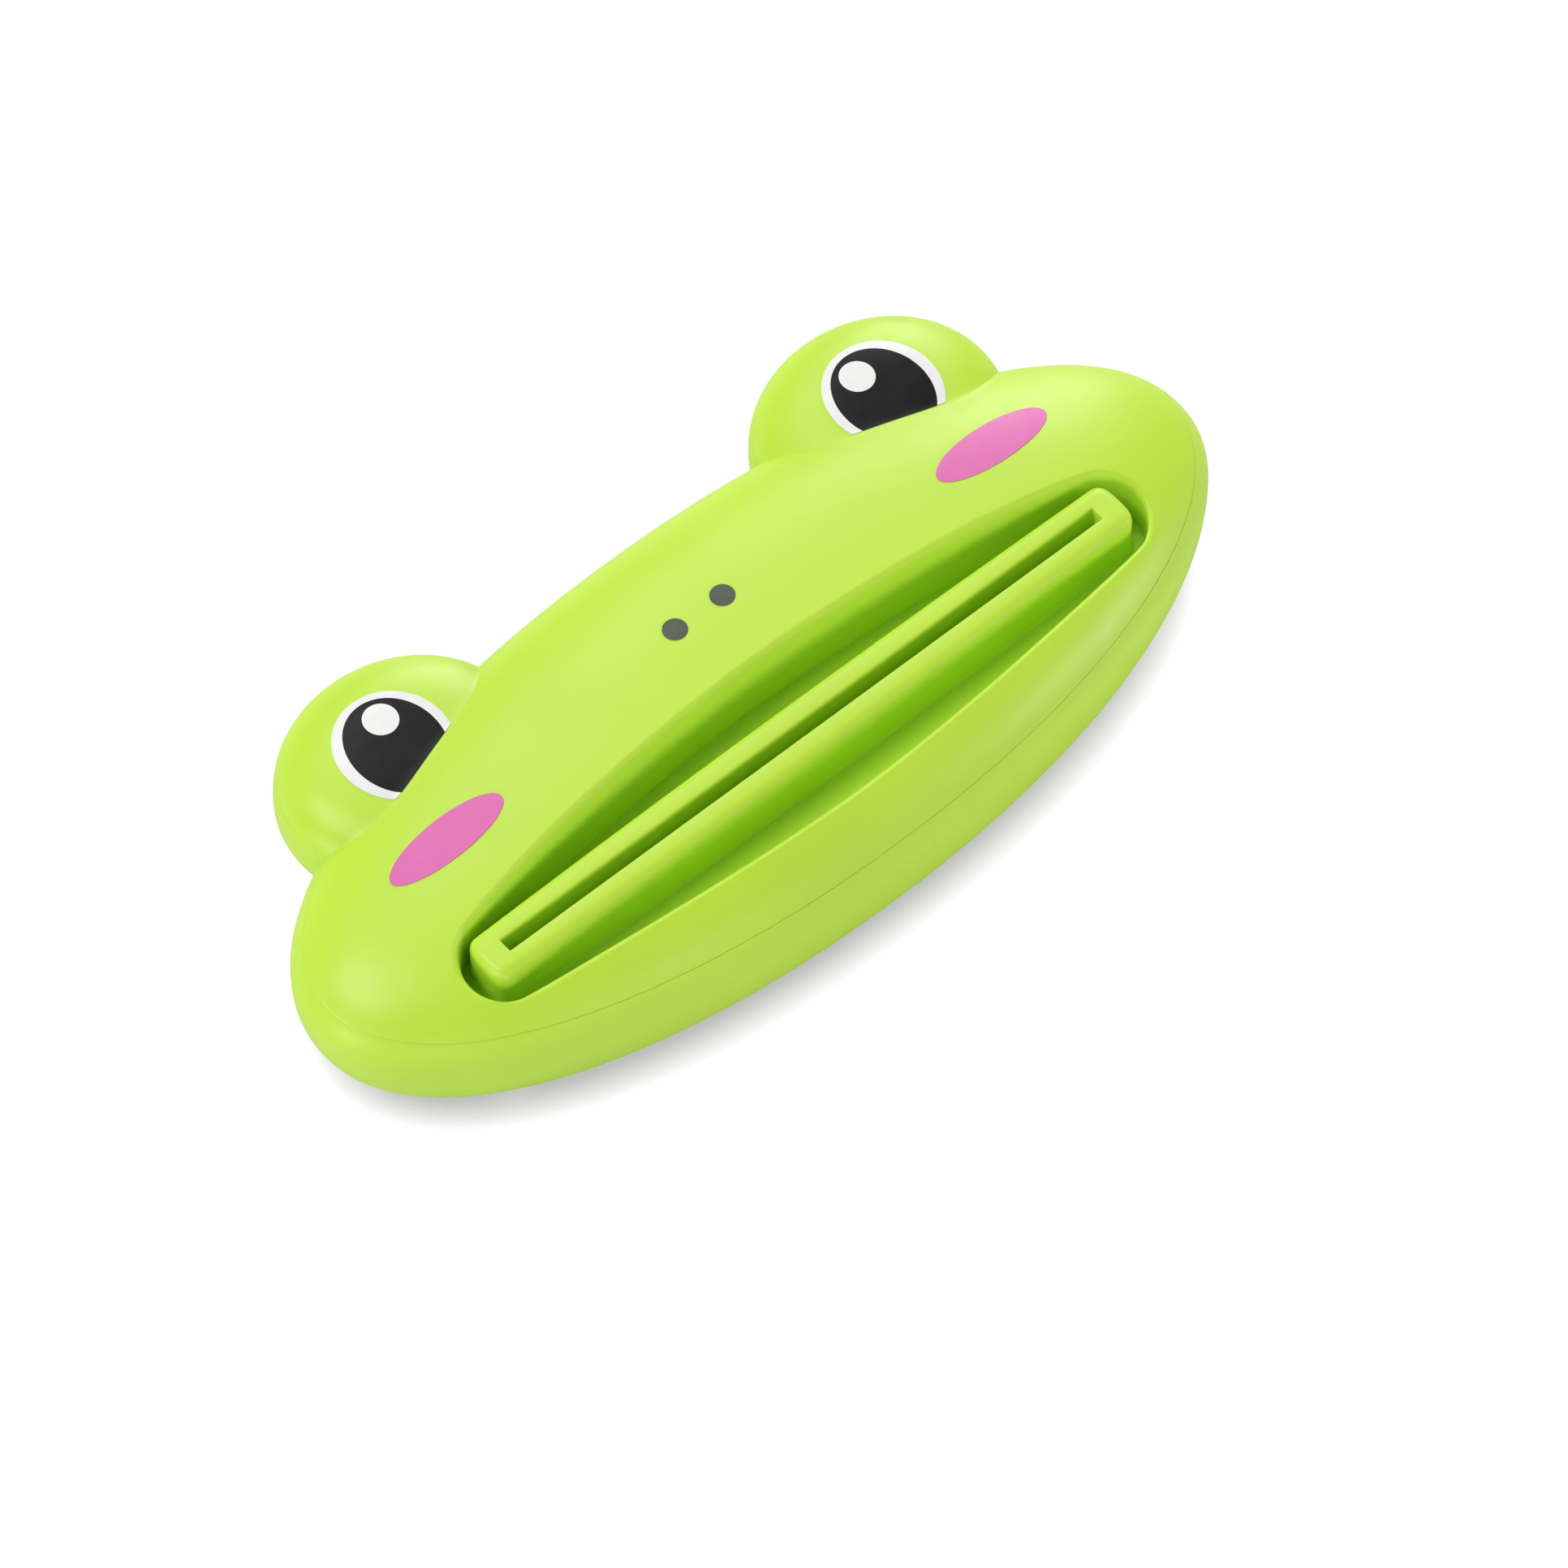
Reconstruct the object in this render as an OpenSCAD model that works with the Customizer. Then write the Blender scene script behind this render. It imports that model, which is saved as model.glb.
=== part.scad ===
// Toothpaste dispenser: a squeezer with a frog's face that slides along a tube.
// The flat tail of the tube goes through the mouth slot, from the back to the face.
// X runs along the mouth, Y from the chin to the eyes, and Z out of the face.
// The flat back lies on Z = 0, with the origin under the middle of the whole object.

/* [Body] */
// Length of the oval body, along the mouth
body_length = 95; // [90:0.5:104]
// Width of the oval body, from the chin to the crown
body_width = 38; // [37:0.5:44]
// Height of the face above the body's widest section
face_rise = 7.8; // [7.2:0.1:9]
// Depth of the flat back below the body's widest section
back_depth = 10.8; // [9.8:0.1:11.2]
// Height of the seam between the two shells above the widest section
seam_rise = 2.5; // [2:0.1:3]
// Wall of both shells
wall = 1.8; // [1.5:0.1:2]

/* [Eye lobes] */
// Distance of each lobe's centre from the middle of the face
lobe_x = 26.1; // [24:0.1:28.5]
// Height of each lobe's centre over the body's long axis
lobe_y = 14.1; // [13:0.1:15.5]
// Width of a lobe
lobe_width = 23.4; // [21:0.1:25]
// Height of a lobe, from the chin side to the top
lobe_height = 20.8; // [19:0.1:23]
// Rise of a lobe's front above the widest section
lobe_rise = 5.9; // [5.2:0.1:6.3]
// Depth of a lobe's rear below the widest section
lobe_depth = 6.7; // [6:0.1:8]

/* [Mouth] */
// Drop of the mouth slot below the body's long axis
mouth_drop = 6.4; // [6:0.1:7]
// Length of the slot that a tube's tail goes through
slot_length = 65; // [60:0.2:68]
// Width of the slot
slot_width = 1.35; // [1:0.05:1.8]
// Length of the lip round the slot
lip_length = 70; // [69:0.2:71]
// Width of the lip at its ends
lip_end_width = 4.8; // [4.2:0.1:5.2]
// Width of the lip at its middle
lip_mid_width = 5.5; // [5:0.1:6]
// Height of the lip's front edge above the widest section
lip_rise = 6.1; // [5:0.1:6.6]
// Distance of the lip's rear edge inside the flat back
lip_recess = 1.8; // [1.4:0.1:2.4]
// Radius of the lip's rounded edges
lip_round = 0.9; // [0.4:0.1:1.1]

/* [Gutter round the lip] */
// Depth of the gutter's floor below the lip's front edge
gutter_depth = 5; // [4:0.1:5.6]
// Drop of the gutter's middle line below the slot
gutter_drop = 0.4; // [0:0.1:0.5]
// Length of the gutter's floor
gutter_length = 73; // [72.2:0.2:74]
// Width of the gutter's floor at its rounded ends
gutter_end_width = 5.8; // [5.6:0.1:6.6]
// Width of the gutter's floor at its middle
gutter_mid_width = 13.7; // [12:0.1:14.2]
// Width of the gutter's wall at the mouth's ends, from its foot to the face
wall_end = 1; // [0.7:0.1:1.4]
// Width of the gutter's wall on the crown side
wall_crown = 0.9; // [0.6:0.1:1.6]
// Width of the gutter's wall on the chin side
wall_chin = 0.9; // [0.6:0.1:1.4]
// Height of the rounded edge between the gutter's wall and the face
edge_height = 1.4; // [0.8:0.1:2.4]

/* [Assembly] */
// Wall of the front shell's skirt that stands on the sleeve's flange
skirt = 1.4; // [1.2:0.1:1.6]
// Thickness of the sleeve's flange
flange_thickness = 2; // [1.6:0.1:2.6]
// Wall of the rear shell's collar round the sleeve
collar = 1.4; // [1.2:0.1:1.6]
// Gap between the sleeve and the collar
sleeve_gap = 0.15; // [0.1:0.05:0.25]
// Chamfer of the rear opening
mouth_chamfer = 0.5; // [0.3:0.1:0.7]
// Distance of the front shell's lap tongue inside the seam's edge
lap_inset = 1.1; // [1:0.05:1.2]
// Length of the lap tongue
lap_length = 1.2; // [0.8:0.1:1.4]
// Gap round the lap tongue
lap_gap = 0.1; // [0.05:0.05:0.15]
// Bevel of both shells' edges along the seam
seam_bevel = 0.2; // [0.1:0.05:0.3]
// Diameter of the press-fit pins
pin_d = 3; // [2.4:0.1:3.4]
// Length of the pins above their posts
pin_length = 3.8; // [3:0.1:4.2]
// Gap round a pin in its socket
pin_gap = 0.05; // [0.02:0.01:0.1]
// Wall of the posts and sockets round the pins
post_wall = 1.3; // [1.1:0.1:1.5]
// Distance of the crown pins from the middle of the face
crown_pin_x = 12; // [9:0.5:14]
// Height of the crown pins over the body's long axis
crown_pin_y = 9; // [8:0.5:10]
// Depth of the joint between post and socket below the widest section
post_drop = 1.5; // [1:0.1:2]

/* [Printed face] */
// Thickness of the printed ink
ink = 0.05; // [0.03:0.01:0.08]
// Distance of an eye's centre outwards from its lobe's centre
eye_out = 0.8; // [0:0.1:1.4]
// Height of an eye's centre over its lobe's centre
eye_up = 0.5; // [0:0.1:1]
// Width of the white of an eye
eye_width = 10.1; // [9.4:0.1:11]
// Height of the white of an eye, before the crease cuts it
eye_height = 11; // [10.2:0.1:12]
// Width of the white line at an eye's sides
white_side = 0.95; // [0.7:0.05:1.3]
// Width of the white line at an eye's top
white_top = 0.65; // [0.5:0.05:1]
// Shift of the pupil towards the nose
pupil_shift = 0.1; // [0:0.1:0.4]
// Shift of the highlight towards the nose
glint_shift = 0.7; // [0.4:0.1:1]
// Height of the highlight over the eye's centre
glint_up = 2.6; // [2:0.1:2.8]
// Width of the highlight
glint_width = 3.1; // [2.6:0.1:3.4]
// Height of the highlight
glint_height = 3.2; // [2.8:0.1:3.6]
// Distance of a cheek's centre inwards from the body's end
cheek_inset = 17.6; // [16.6:0.1:18.6]
// Height of a cheek's centre over the body's long axis
cheek_y = 4.2; // [3.9:0.1:4.4]
// Width of a cheek
cheek_width = 11.9; // [10:0.1:12.6]
// Height of a cheek
cheek_height = 4; // [3.4:0.1:4.6]
// Distance of a nostril from the middle of the face
nostril_x = 2.6; // [2:0.1:3.4]
// Height of the nostrils over the body's long axis
nostril_y = 7.1; // [6.4:0.1:8]
// Diameter of a nostril
nostril_d = 2.2; // [1.6:0.1:2.6]

/* [Hidden] */

lime = "#a8dc32";
white_ink = "#f8f8f5";
black_ink = "#1e1e20";
pink_ink = "#ec74be";
grey_ink = "#4c544a";

// Shape of the domes: an outline power of 2 is an ellipse, and higher powers are fuller
oval_power = 2.1;
face_full = 4;
face_round = 1.9;
back_full = 5;
back_round = 2.5;
lobe_full = 3.5;
lobe_round = 2.75;
lobe_back_full = 2.3;
lobe_back_round = 2;
// Share of the rear dome's full depth that the flat back leaves
back_flat_share = 0.83;
// Sharpness of the crease between body and lobes
merge_power = 60;

mouth_y = -mouth_drop;
floor_z = lip_rise - gutter_depth;
flange_z = floor_z - flange_thickness;
lip_bottom = lip_recess - back_depth;
post_z = -post_drop;
boss_d = pin_d + 2 * pin_gap + 2 * post_wall;
facets = 48;
play = 2 * lap_gap;
ink_lift = 0.8 * ink;
print_gap = 0.6 * ink;
crease_margin = 5 * ink;
eye_x = lobe_x + eye_out;
eye_y = lobe_y + eye_up;
cheek_x = body_length / 2 - cheek_inset;

// Length and squareness of the lip's rounded corners
lip_corner = 1.5;
lip_square = 3;
// Fullness of the lip's and the gutter's sides between the middle and the ends
lip_bow = 2;
gutter_bow = 1.8;

// Number of loft lines along the chin, the mouth's end, a lobe and the crown
chin_lines = 13;
end_lines = 8;
lobe_lines = 18;
crown_lines = 7;
// Angle on the outline that the mouth's end looks at
end_angle = -23;
// Angles round the mouth where the loft lines of a lobe begin and end
lobe_from = 43;
lobe_to = 61;

// Share of the wall's width that it leans below its rounded edge, and the edge's share of its height
edge_from = 0.25;
edge_share = edge_height / (face_rise - floor_z);
// Steps up the gutter's wall: the share of its width, and of its height
wall_steps = [for (a = [0 : 18 : 90]) [mix(1, edge_from, cos(a)), 1 - edge_share * (1 - sin(a))]];
// Steps of the skins along a loft line: on to the crease, and to the outline
face_steps = [1.3, 1.6, 1.88, 2, 2.06, 2.26, 2.5, 2.71, 2.87, 2.97];
face_inner_steps = [1.3, 1.65, 2, 2.5, 2.87];
back_steps = [0.5, 1, for (k = [1 : 3]) 1 + k / 3, for (k = [1 : 5]) 2 + sin(90 * k / 6)];
back_inner_steps = [1, 1.5, 2, 2.5, 2.87];
// Most of the way from the gutter's floor to the tongue that the skirt may take
skirt_most = 0.5;
// Most of a loft line that the gutter's wall may take
wall_most = 0.7;
// Least share of a loft line between the rear opening and the end of the flat
flat_least = 0.06;
// Place of the crease on the loft lines that don't cross it, and its limits on the others
crease_rest = 0.7;
crease_limits = [0.1, 0.84];

function mix(a, b, t) = a + (b - a) * t;

// Size of a dome of height h at the level z, as a share of its outline
function level(z, h, full, round) = pow(1 - pow(z / h, round), 1 / full);

// Height of a dome at the share r of its outline
function dome(r, h, full, round) = r >= 1 ? 0 : h * pow(1 - pow(r, full), 1 / round);

// Two heights as one surface, with a small fillet where they cross
function merge(a, b) = pow(pow(a, merge_power) + pow(b, merge_power), 1 / merge_power);

// Share of the body's outline and of a lobe's outline that a point lies at, s inside the skin
function body_share(p, s) = pow(
    pow(abs(p.x) / (body_length / 2 - s), oval_power) + pow(abs(p.y) / (body_width / 2 - s), oval_power),
    1 / oval_power);
function lobe_share(p, s) = norm([
    (abs(p.x) - lobe_x) / (lobe_width / 2 - s),
    (p.y - lobe_y) / (lobe_height / 2 - s)]);

// Heights of the front and depths of the rear at a point, s inside the skin
function body_front(p, s) = dome(body_share(p, s), face_rise - s, face_full, face_round);
function lobe_front(p, s) = dome(lobe_share(p, s), lobe_rise - s, lobe_full, lobe_round);
function face_z(p, s) = merge(body_front(p, s), lobe_front(p, s));
function body_back(p, s) = dome(body_share(p, s), back_depth / back_flat_share - s, back_full, back_round);
function lobe_back(p, s) = dome(lobe_share(p, s), lobe_depth - s, lobe_back_full, lobe_back_round);
function back_z(p, s) = -min(back_depth - s, merge(body_back(p, s), lobe_back(p, s)));

// Points of the body's and a lobe's outlines, with half-axes a
function body_point(a, angle) =
    let (c = cos(angle), n = sin(angle))
    let (r = pow(pow(abs(c), oval_power) + pow(abs(n), oval_power), -1 / oval_power))
    [a.x * c * r, a.y * n * r];
function lobe_point(a, angle) = [lobe_x + a.x * cos(angle), lobe_y + a.y * sin(angle)];
function inside(p, a) = pow(p.x / a.x, oval_power) + pow(abs(p.y) / a.y, oval_power) < 1;

// Angle on the lobe where it leaves the body, between one angle inside and one outside
function notch(body, lobe, in, out, steps = 30) =
    let (half = (in + out) / 2)
    steps == 0 ? half
    : inside(lobe_point(lobe, half), body) ? notch(body, lobe, half, out, steps - 1)
    : notch(body, lobe, in, half, steps - 1);

// Loft lines of the right half, from the chin to the crown: part, share of the part, angle at the mouth
fan = [
    for (k = [0 : chin_lines - 1]) let (t = k / chin_lines) [0, t, mix(-90, 0, t)],
    for (k = [0 : end_lines - 1]) let (t = k / end_lines) [1, t, mix(0, lobe_from, t)],
    for (k = [0 : lobe_lines - 1]) let (t = k / lobe_lines) [2, t, mix(lobe_from, lobe_to, t)],
    for (k = [0 : crown_lines]) let (t = k / crown_lines) [3, t, mix(lobe_to, 90, t)],
];

// A ring from its right half, whose first and last points lie on the middle line
function both_sides(half) = concat(half, [for (k = [len(half) - 2 : -1 : 1]) [-half[k].x, half[k].y]]);

// Angle at the mouth of every loft line, and whether it ends on a lobe
mouth_angles = concat([for (f = fan) f[2]], [for (k = [len(fan) - 2 : -1 : 1]) fan[k][2]]);
on_lobe = concat([for (f = fan) f[0] == 2], [for (k = [len(fan) - 2 : -1 : 1]) fan[k][0] == 2]);

// Outline of body and lobes at the height z above the widest section, s inside it
function outline(z, s) =
    let (b = level(z, face_rise, face_full, face_round), e = level(z, lobe_rise, lobe_full, lobe_round))
    let (body = [body_length / 2 * b - s, body_width / 2 * b - s])
    let (lobe = [lobe_width / 2 * e - s, lobe_height / 2 * e - s])
    let (from = notch(body, lobe, -60, 80), to = notch(body, lobe, 240, 100))
    let (p = lobe_point(lobe, from), q = lobe_point(lobe, to))
    let (low = atan2(p.y / body.y, p.x / body.x), high = atan2(q.y / body.y, q.x / body.x))
    both_sides([for (f = fan)
        f[0] == 0 ? body_point(body, mix(-90, end_angle, f[1]))
        : f[0] == 1 ? body_point(body, mix(end_angle, low, f[1]))
        : f[0] == 2 ? lobe_point(lobe, mix(from, to, f[1]))
        : body_point(body, mix(high, 90, f[1]))]);

// Lens round the mouth with the half-length a, its end rounded over the length r
function lens_point(a, mid, end, bow, r, square, y, angle) =
    let (c = cos(angle), t = max(0, 1 - a * (1 - abs(c)) / r))
    [a * c, y + sign(sin(angle)) * mix(mid, end, pow(abs(c), bow)) * pow(1 - pow(t, square), 1 / square)];

// The lip and the gutter's floor, g larger all round
function lip_ring(g) = both_sides([for (f = fan) lens_point(
    lip_length / 2 + g, lip_mid_width / 2 + g, lip_end_width / 2 + g, lip_bow,
    lip_corner + g, lip_square, mouth_y, f[2])]);
function gutter_ring(g) = both_sides([for (f = fan) lens_point(
    gutter_length / 2 + g, gutter_mid_width / 2 + g, gutter_end_width / 2 + g, gutter_bow,
    gutter_end_width / 2 + g, 2, mouth_y - gutter_drop, f[2])]);

// Width of the gutter's wall at an angle round the mouth
function wall_width(angle) = mix(wall_end, angle > 0 ? wall_crown : wall_chin, pow(sin(angle), 2));

function at_z(ring, z) = [for (p = ring) [p.x, p.y, z]];
function between(a, b, t) = [for (i = [0 : len(a) - 1]) mix(a[i], b[i], t)];

// Distance of a ring's points from another ring's
function far(a, b, i) = norm(b[i] - a[i]);

// Place of the crease between the shares low and high of a loft line, for the skin s inside
function crease_at(a, b, s, front, low, high, steps = 16) =
    let (t = (low + high) / 2, p = mix(a, b, t))
    let (body = front ? body_front(p, s) : body_back(p, s), lobe = front ? lobe_front(p, s) : lobe_back(p, s))
    steps == 0 ? t
    : body > lobe ? crease_at(a, b, s, front, t, high, steps - 1)
    : crease_at(a, b, s, front, low, t, steps - 1);

// Share of each loft line where the crease runs, from the start shares on
function creases(a, b, start, s, front) = [for (i = [0 : len(a) - 1])
    let (rest = 1 - start[i])
    !on_lobe[i] ? start[i] + crease_rest * rest
    : let (t = crease_at(a[i], b[i], s, front, start[i], 1))
        start[i] + rest * max(crease_limits[0], min(crease_limits[1], (t - start[i]) / rest))];

// Share of each loft line that the gutter's wall takes from ring a to ring b
function wall_share(a, b) = [for (i = [0 : len(a) - 1])
    min(wall_most, wall_width(mouth_angles[i]) / far(a, b, i))];

// Share of each loft line at which the flat of the back ends, s inside the skin
function flat_end(a, b, s) = [for (i = [0 : len(a) - 1]) flat_share(a[i], b[i], s, 0, 1)];
function flat_share(a, b, s, low, high, steps = 16) =
    let (t = (low + high) / 2)
    steps == 0 ? max(flat_least, t)
    : body_back(mix(a, b, t), s) > back_depth - s ? flat_share(a, b, s, t, high, steps - 1)
    : flat_share(a, b, s, low, t, steps - 1);

// Share of loft line i for the step t: stops are the shares at the steps 1 and 2
function share_at(stops, i, t) =
    t < 1 ? t * stops[0][i]
    : t < 2 ? mix(stops[0][i], stops[1][i], t - 1)
    : mix(stops[1][i], 1, t - 2);

// Rings of the front skin, s inside it: on the gutter's wall at the step t, and beyond it
function wall_ring(a, b, walls, t, s) = [for (i = [0 : len(a) - 1])
    let (p = mix(a[i], b[i], walls[i] * t[0]))
    [p.x, p.y, mix(floor_z, face_z(p, s), t[1])]];
function front_ring(a, b, stops, t, s) = [for (i = [0 : len(a) - 1])
    let (p = mix(a[i], b[i], share_at(stops, i, t)))
    [p.x, p.y, face_z(p, s)]];

// Ring of the rear skin, s inside it
function back_ring(a, b, stops, t, s) = [for (i = [0 : len(a) - 1])
    let (p = mix(a[i], b[i], share_at(stops, i, t)))
    [p.x, p.y, back_z(p, s)]];
function on_back(ring, s, up) = [for (p = ring) [p.x, p.y, back_z(p, s) + up]];

// Closed solid through a loop of rings with equal numbers of points
module loft(rings) {
    n = len(rings[0]);
    m = len(rings);
    polyhedron(
        points = [for (ring = rings, p = ring) p],
        faces = [
            for (j = [0 : m - 1], i = [0 : n - 1], half = [0, 1])
                let (next = (j + 1) % m * n, k = (i + 1) % n)
                half == 0 ? [j * n + i, next + i, next + k] : [j * n + i, next + k, j * n + k]
        ],
        convexity = 10);
}

// Places the face's own axes, which start at the widest section, over the flat back
module seat() {
    translate([0, (body_width / 2 - lobe_y - lobe_height / 2) / 2, back_depth]) children();
}

// Pins, posts and sockets share these places
pin_places = [
    for (side = [-1, 1]) [side * lobe_x, lobe_y],
    for (side = [-1, 1]) [side * crown_pin_x, crown_pin_y],
];

module front_shell() {
    foot = gutter_ring(0);
    edge = outline(seam_rise + seam_bevel, 0);
    inner_edge = outline(seam_rise, wall);
    inner_foot = [for (i = [0 : len(foot) - 1])
        mix(foot[i], inner_edge[i], min(skirt / far(foot, inner_edge, i), skirt_most))];
    walls = wall_share(foot, edge);
    stops = [walls, creases(foot, edge, walls, 0, true)];
    inner_walls = wall_share(inner_foot, inner_edge);
    inner_stops = [inner_walls, creases(inner_foot, inner_edge, inner_walls, wall, true)];
    color(lime) seat() difference() {
        union() {
            loft([
                at_z(inner_foot, floor_z),
                for (k = [0, 2, 5]) wall_ring(inner_foot, inner_edge, inner_walls, wall_steps[k], wall),
                for (t = face_inner_steps) front_ring(inner_foot, inner_edge, inner_stops, t, wall),
                at_z(inner_edge, seam_rise - lap_length),
                at_z(outline(seam_rise, lap_inset), seam_rise - lap_length),
                at_z(outline(seam_rise, lap_inset), seam_rise),
                at_z(outline(seam_rise, seam_bevel), seam_rise),
                at_z(edge, seam_rise + seam_bevel),
                for (k = [len(face_steps) - 1 : -1 : 0]) front_ring(foot, edge, stops, face_steps[k], 0),
                for (k = [len(wall_steps) - 1 : -1 : 0]) wall_ring(foot, edge, walls, wall_steps[k], 0),
                at_z(foot, floor_z),
            ]);
            for (p = pin_places) translate([p.x, p.y, post_z])
                cylinder(d = boss_d, h = face_z(p, wall) + wall / 2 - post_z, $fn = facets);
        }
        for (p = pin_places) translate([p.x, p.y, post_z - 1])
            cylinder(d = pin_d + 2 * pin_gap, h = pin_length + play + 1, $fn = facets);
    }
}

module rear_shell() {
    bore = lip_ring(sleeve_gap);
    rim = lip_ring(sleeve_gap + mouth_chamfer);
    widest = outline(0, 0);
    inner_widest = outline(0, wall);
    inner_collar = lip_ring(sleeve_gap + collar);
    flat = flat_end(rim, widest, 0);
    stops = [flat, creases(rim, widest, flat, 0, false)];
    inner_flat = flat_end(inner_collar, inner_widest, wall);
    inner_stops = [inner_flat, creases(inner_collar, inner_widest, inner_flat, wall, false)];
    color(lime) seat() union() {
        loft([
            at_z(bore, flange_z),
            [for (i = [0 : len(bore) - 1]) [bore[i].x, bore[i].y, back_z(rim[i], 0) + mouth_chamfer]],
            on_back(rim, 0, 0),
            for (t = back_steps) back_ring(rim, widest, stops, t, 0),
            at_z(widest, 0),
            at_z(outline(seam_rise / 2, 0), seam_rise / 2),
            at_z(outline(seam_rise - seam_bevel, 0), seam_rise - seam_bevel),
            at_z(outline(seam_rise, seam_bevel), seam_rise),
            at_z(outline(seam_rise, lap_inset - lap_gap), seam_rise),
            at_z(outline(seam_rise, lap_inset - lap_gap), seam_rise - lap_length - play),
            at_z(inner_widest, 0),
            for (k = [len(back_inner_steps) - 1 : -1 : 0])
                back_ring(inner_collar, inner_widest, inner_stops, back_inner_steps[k], wall),
            on_back(inner_collar, wall, 0),
            at_z(inner_collar, flange_z),
        ]);
        for (p = pin_places) translate([p.x, p.y, 0]) {
            translate([0, 0, back_z(p, wall) - wall / 2])
                cylinder(d = boss_d, h = post_z - back_z(p, wall) + wall / 2, $fn = facets);
            translate([0, 0, post_z - 1]) cylinder(d = pin_d, h = pin_length + 1, $fn = facets);
        }
    }
}

// Levels of the lip: how far its edge is drawn in, and the height
lip_levels = [
    for (a = [90 : -30 : 0]) [lip_round * (1 - cos(a)), lip_bottom + lip_round * (1 - sin(a))],
    for (a = [0 : 30 : 90]) [lip_round * (1 - cos(a)), lip_rise - lip_round * (1 - sin(a))],
];

// Solid through a pile of rings, each of them alike on both sides of the middle line
module pile(rings) {
    n = len(rings[0]);
    m = len(rings);
    top = (m - 1) * n;
    polyhedron(
        points = [for (ring = rings, p = ring) p],
        faces = [
            for (i = [0 : n - 1], j = [0 : m - 2]) let (k = (i + 1) % n) each [
                [j * n + i, j * n + n + i, j * n + n + k],
                [j * n + i, j * n + n + k, j * n + k],
            ],
            for (i = [1 : n / 2 - 2]) each [[i, i + 1, n - i - 1], [i, n - i - 1, n - i]],
            for (i = [1 : n / 2 - 2]) each [
                [top + i, top + n - i - 1, top + i + 1],
                [top + i, top + n - i, top + n - i - 1],
            ],
            [0, 1, n - 1],
            [n / 2, n / 2 + 1, n / 2 - 1],
            [top, top + n - 1, top + 1],
            [top + n / 2, top + n / 2 - 1, top + n / 2 + 1],
        ],
        convexity = 4);
}

module slot_sleeve() {
    color(lime) seat() difference() {
        union() {
            pile([for (v = lip_levels) at_z(lip_ring(-v[0]), v[1])]);
            translate([0, 0, flange_z]) linear_extrude(flange_thickness) polygon(gutter_ring(skirt));
        }
        translate([-slot_length / 2, mouth_y - slot_width / 2, lip_bottom - 1])
            cube([slot_length, slot_width, lip_rise - lip_bottom + 2]);
    }
}

// Height on the face where the crease between body and lobe runs at x
function crease_y(x, low = lobe_y - 0.38 * lobe_height, high = lobe_y + 0.2 * lobe_height, steps = 24) =
    let (y = (low + high) / 2)
    steps == 0 ? y
    : body_front([x, y], 0) > lobe_front([x, y], 0) ? crease_y(x, y, high, steps - 1)
    : crease_y(x, low, y, steps - 1);

// Ellipse on the right side of the face
ink_points = 32;
function ellipse_point(c, size, angle) = [c.x + size.x / 2 * cos(angle), c.y + size.y / 2 * sin(angle)];
function ellipse(c, size, count = ink_points) =
    [for (k = [0 : count - 1]) ellipse_point(c, size, 360 * k / count)];

// Rings and strips of ink lie on the skin: their lower side first, then their upper side
function on_face(ring, up) = [for (p = ring) [p.x, p.y, face_z(p, 0) + ink_lift + up]];

module ink_ring(outer, inner, steps) {
    loft([
        for (k = [0 : steps]) on_face(between(inner, outer, k / steps), 0),
        for (k = [steps : -1 : 0]) on_face(between(inner, outer, k / steps), ink),
    ]);
}

// Round patch of ink, with rings of points about its centre
module ink_disc(centre, ring, steps) {
    n = len(ring);
    rings = [for (k = [1 : steps]) between([for (p = ring) centre], ring, k / steps)];
    top = 1 + n * steps;
    polyhedron(
        points = [
            for (up = [0, ink]) each concat(on_face([centre], up), [for (r = rings) each on_face(r, up)])
        ],
        faces = [
            for (i = [0 : n - 1]) let (k = (i + 1) % n) each [
                [0, 1 + i, 1 + k],
                [top, top + 1 + k, top + 1 + i],
                [top - n + i, 2 * top - n + i, 2 * top - n + k],
                [top - n + i, 2 * top - n + k, top - n + k],
            ],
            for (j = [0 : 1 : steps - 2], i = [0 : n - 1])
                let (k = (i + 1) % n, a = 1 + j * n, b = a + n) each [
                    [a + i, b + i, b + k],
                    [a + i, b + k, a + k],
                    [top + a + i, top + b + k, top + b + i],
                    [top + a + i, top + a + k, top + b + k],
                ],
        ],
        convexity = 6);
}

// Open strip of ink between two lines of points
module ink_strip(outer, inner) {
    n = len(outer);
    polyhedron(
        points = [
            for (i = [0 : n - 1]) each concat(on_face([outer[i], inner[i]], 0), on_face([inner[i], outer[i]], ink))
        ],
        faces = [
            for (i = [0 : n - 2], j = [0 : 3]) let (k = (j + 1) % 4, a = 4 * i, b = a + 4) each [
                [a + j, b + j, b + k],
                [a + j, b + k, a + k],
            ],
            [0, 1, 2],
            [0, 2, 3],
            [4 * n - 4, 4 * n - 2, 4 * n - 3],
            [4 * n - 4, 4 * n - 1, 4 * n - 2],
        ],
        convexity = 6);
}

eye = [eye_x, eye_y];
eye_size = [eye_width, eye_height];
pupil = [eye_x - pupil_shift, eye_y - white_top / 4];
pupil_size = [eye_width - 2 * white_side, eye_height - 1.5 * white_top];
pupil_hole = [for (v = pupil_size) v + 2 * print_gap];
glint = [eye_x - glint_shift, eye_y + glint_up];
glint_size = [glint_width, glint_height];

// Point moved up to the crease where it lies below it
function above_crease(p) = [p.x, max(p.y, crease_y(p.x) + crease_margin)];

// Angle at which an eye's ellipse meets the crease
function crease_angle(c, size, in, out, steps = 24) =
    let (half = (in + out) / 2, p = ellipse_point(c, size, half))
    steps == 0 ? half
    : p.y > crease_y(p.x) + crease_margin ? crease_angle(c, size, half, out, steps - 1)
    : crease_angle(c, size, in, half, steps - 1);

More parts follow.
